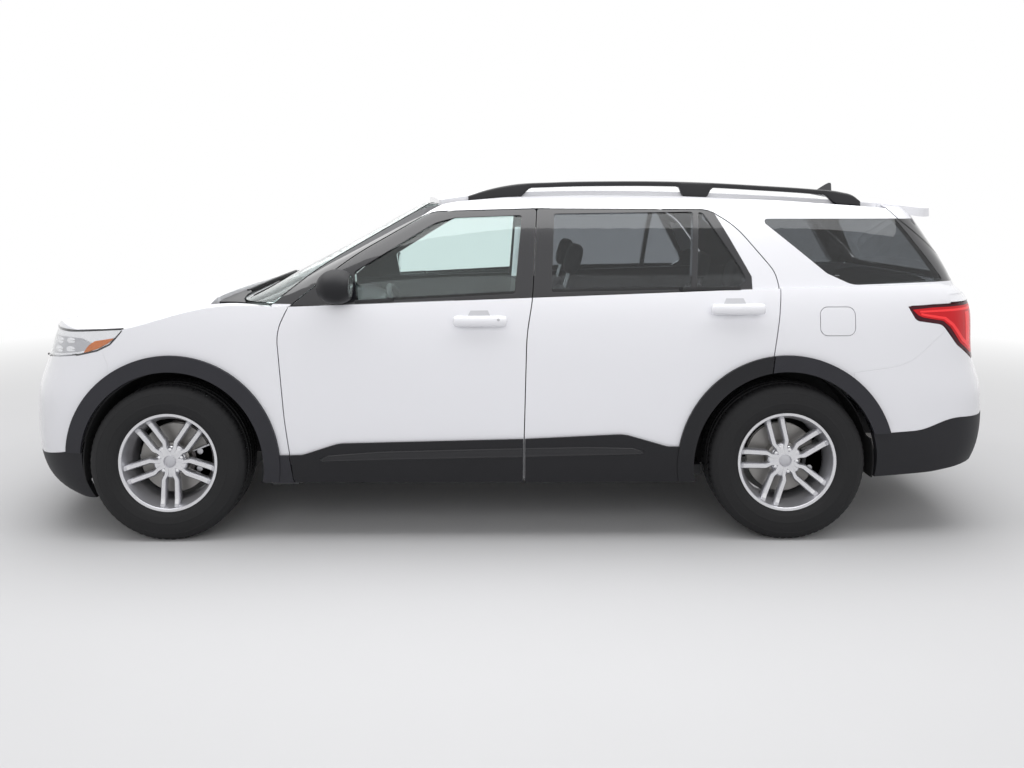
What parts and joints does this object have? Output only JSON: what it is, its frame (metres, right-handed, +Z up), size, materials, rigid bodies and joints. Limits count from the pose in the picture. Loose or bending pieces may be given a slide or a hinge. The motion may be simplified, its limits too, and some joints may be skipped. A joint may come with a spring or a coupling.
{
  "type": "full-size suv",
  "caption": "Three-row family SUV with opening doors, hood, liftgate and fuel door, steered front wheels, spinning wheels and a hollow cabin with seats.",
  "frame": {"origin": "mid length on the centre plane, on the floor under the tyres", "axes": "+X towards the tail, the nose is at -X; +Y towards the car's right side; +Z up"},
  "size_m": [5.0521, 2.2678, 1.7749],
  "materials": {
    "paint": "gloss",
    "trim": "satin",
    "gloss_black": "gloss",
    "glass": "gloss",
    "dark_glass": "gloss",
    "lamp": "gloss",
    "red_lamp": "gloss",
    "tyre": "matt",
    "alloy": "satin",
    "iron": "rough",
    "frame": "matt",
    "cabin": "matt",
    "seat": "matt",
    "steel": "satin"
  },
  "bodies": {
    "body": {"arch_trim": "trim", "axle_frames": "frame", "body_side_left": "paint", "body_side_right": "paint", "bumper_covers": "paint", "cowl_panel": "trim", "dashboard": "cabin", "engine_block": "iron", "exhaust": "steel", "fenders": "paint", "floor_pan": "frame", "front_seats": "seat", "grille": "gloss_black", "headlamps": "lamp", "lower_valances": "trim", "quarter_glass": "dark_glass", "radiator": "cabin", "rear_seats": "seat", "roof_panel": "paint", "roof_trim": "trim", "tail_lamps": "red_lamp", "wheel_liners": "trim", "windshield": "glass"},
    "door_front_left": {"door_front_left": "paint", "door_front_left_glass": "glass", "door_front_left_trim": "trim"},
    "wheel_front_left": {"tyre_front_left": "tyre", "rim_front_left": "alloy"},
    "door_rear_left": {"door_rear_left": "paint", "door_rear_left_glass": "dark_glass", "door_rear_left_trim": "trim"},
    "wheel_rear_left": {"tyre_rear_left": "tyre", "rim_rear_left": "alloy"},
    "knuckle_left": {"knuckle_front_left": "iron"},
    "door_front_right": {"door_front_right": "paint", "door_front_right_glass": "glass", "door_front_right_trim": "trim"},
    "wheel_front_right": {"tyre_front_right": "tyre", "rim_front_right": "alloy"},
    "door_rear_right": {"door_rear_right": "paint", "door_rear_right_glass": "dark_glass", "door_rear_right_trim": "trim"},
    "wheel_rear_right": {"tyre_rear_right": "tyre", "rim_rear_right": "alloy"},
    "knuckle_right": {"knuckle_front_right": "iron"},
    "hood": {"hood": "paint"},
    "liftgate": {"liftgate": "paint", "liftgate_glass": "dark_glass"},
    "fuel_door": {"fuel_door": "paint"},
    "steering_wheel": {"steering_wheel": "cabin"}
  },
  "joints": [
    {"name": "steer_left", "type": "hinge", "parent": "body", "child": "knuckle_left", "pos_m": [-1.645, -0.836, 0.385], "axis": [0, 0, 1], "range_deg": [-35, 35]},
    {"name": "wheel_front_left_spin", "type": "hinge", "parent": "knuckle_left", "child": "wheel_front_left", "pos_m": [-1.645, -0.851, 0.385], "axis": [0, 1, 0], "continuous": true},
    {"name": "wheel_rear_left_spin", "type": "hinge", "parent": "body", "child": "wheel_rear_left", "pos_m": [1.38, -0.851, 0.385], "axis": [0, 1, 0], "continuous": true},
    {"name": "door_front_left_swing", "type": "hinge", "parent": "body", "child": "door_front_left", "pos_m": [-1.105, -0.984, 0.85], "axis": [0, 0, -1], "range_deg": [0, 65]},
    {"name": "door_rear_left_swing", "type": "hinge", "parent": "body", "child": "door_rear_left", "pos_m": [0.095, -1, 0.85], "axis": [0, 0, -1], "range_deg": [0, 70]},
    {"name": "steer_right", "type": "hinge", "parent": "body", "child": "knuckle_right", "pos_m": [-1.645, 0.836, 0.385], "axis": [0, 0, 1], "range_deg": [-35, 35]},
    {"name": "wheel_front_right_spin", "type": "hinge", "parent": "knuckle_right", "child": "wheel_front_right", "pos_m": [-1.645, 0.851, 0.385], "axis": [0, 1, 0], "continuous": true},
    {"name": "wheel_rear_right_spin", "type": "hinge", "parent": "body", "child": "wheel_rear_right", "pos_m": [1.38, 0.851, 0.385], "axis": [0, 1, 0], "continuous": true},
    {"name": "door_front_right_swing", "type": "hinge", "parent": "body", "child": "door_front_right", "pos_m": [-1.105, 0.984, 0.85], "axis": [0, 0, 1], "range_deg": [0, 65]},
    {"name": "door_rear_right_swing", "type": "hinge", "parent": "body", "child": "door_rear_right", "pos_m": [0.095, 1, 0.85], "axis": [0, 0, 1], "range_deg": [0, 70]},
    {"name": "hood_lift", "type": "hinge", "parent": "body", "child": "hood", "pos_m": [-1.431, 0, 1.198], "axis": [0, 1, 0], "range_deg": [0, 55]},
    {"name": "liftgate_lift", "type": "hinge", "parent": "body", "child": "liftgate", "pos_m": [1.93, 0, 1.697], "axis": [0, -1, 0], "range_deg": [0, 80]},
    {"name": "fuel_door_swing", "type": "hinge", "parent": "body", "child": "fuel_door", "pos_m": [1.534, -0.987, 1.077], "axis": [0, 0, -1], "range_deg": [0, 95]},
    {"name": "steering_wheel_turn", "type": "hinge", "parent": "body", "child": "steering_wheel", "pos_m": [-0.56, -0.38, 1.04], "axis": [0.9063, 0, 0.4226], "range_deg": [-520, 520]}
  ],
  "couplings": [
    {"joint": "steer_right", "follows": "steer_left", "ratio": 1},
    {"joint": "steering_wheel_turn", "follows": "steer_left", "ratio": 14.7}
  ]
}
